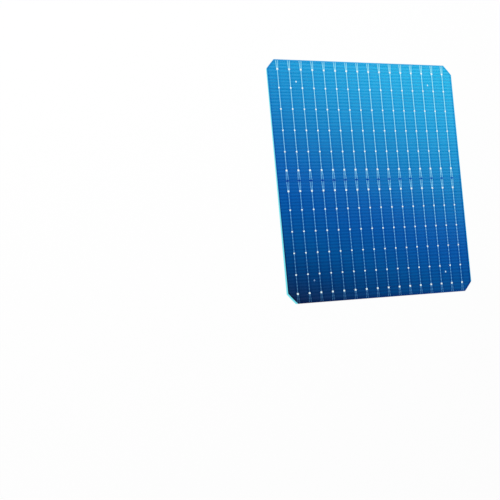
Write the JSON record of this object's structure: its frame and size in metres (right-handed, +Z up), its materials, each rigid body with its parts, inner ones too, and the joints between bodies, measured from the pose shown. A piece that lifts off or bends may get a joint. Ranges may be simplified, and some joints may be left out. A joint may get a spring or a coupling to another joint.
{
  "type": "solar cell",
  "caption": "Square blue silicon solar cell with cut corners and a printed silver grid of fine fingers, thin forked busbars and solder pads, laid out to be cut into halves.",
  "frame": {"origin": "middle of the cell, on the surface that its rear side lies on", "axes": "+Z up, out of the sunny side; +Y along the busbars, towards the upper half; +X across the busbars"},
  "size_m": [0.182, 0.182, 0.0002],
  "materials": {
    "coated_silicon": "gloss",
    "finger_silver": "satin",
    "busbar_silver": "satin"
  },
  "bodies": {
    "root": {"silicon_wafer": "coated_silicon", "front_fingers": "finger_silver", "front_busbars": "busbar_silver", "rear_fingers": "finger_silver", "rear_busbars": "busbar_silver"}
  },
  "joints": []
}
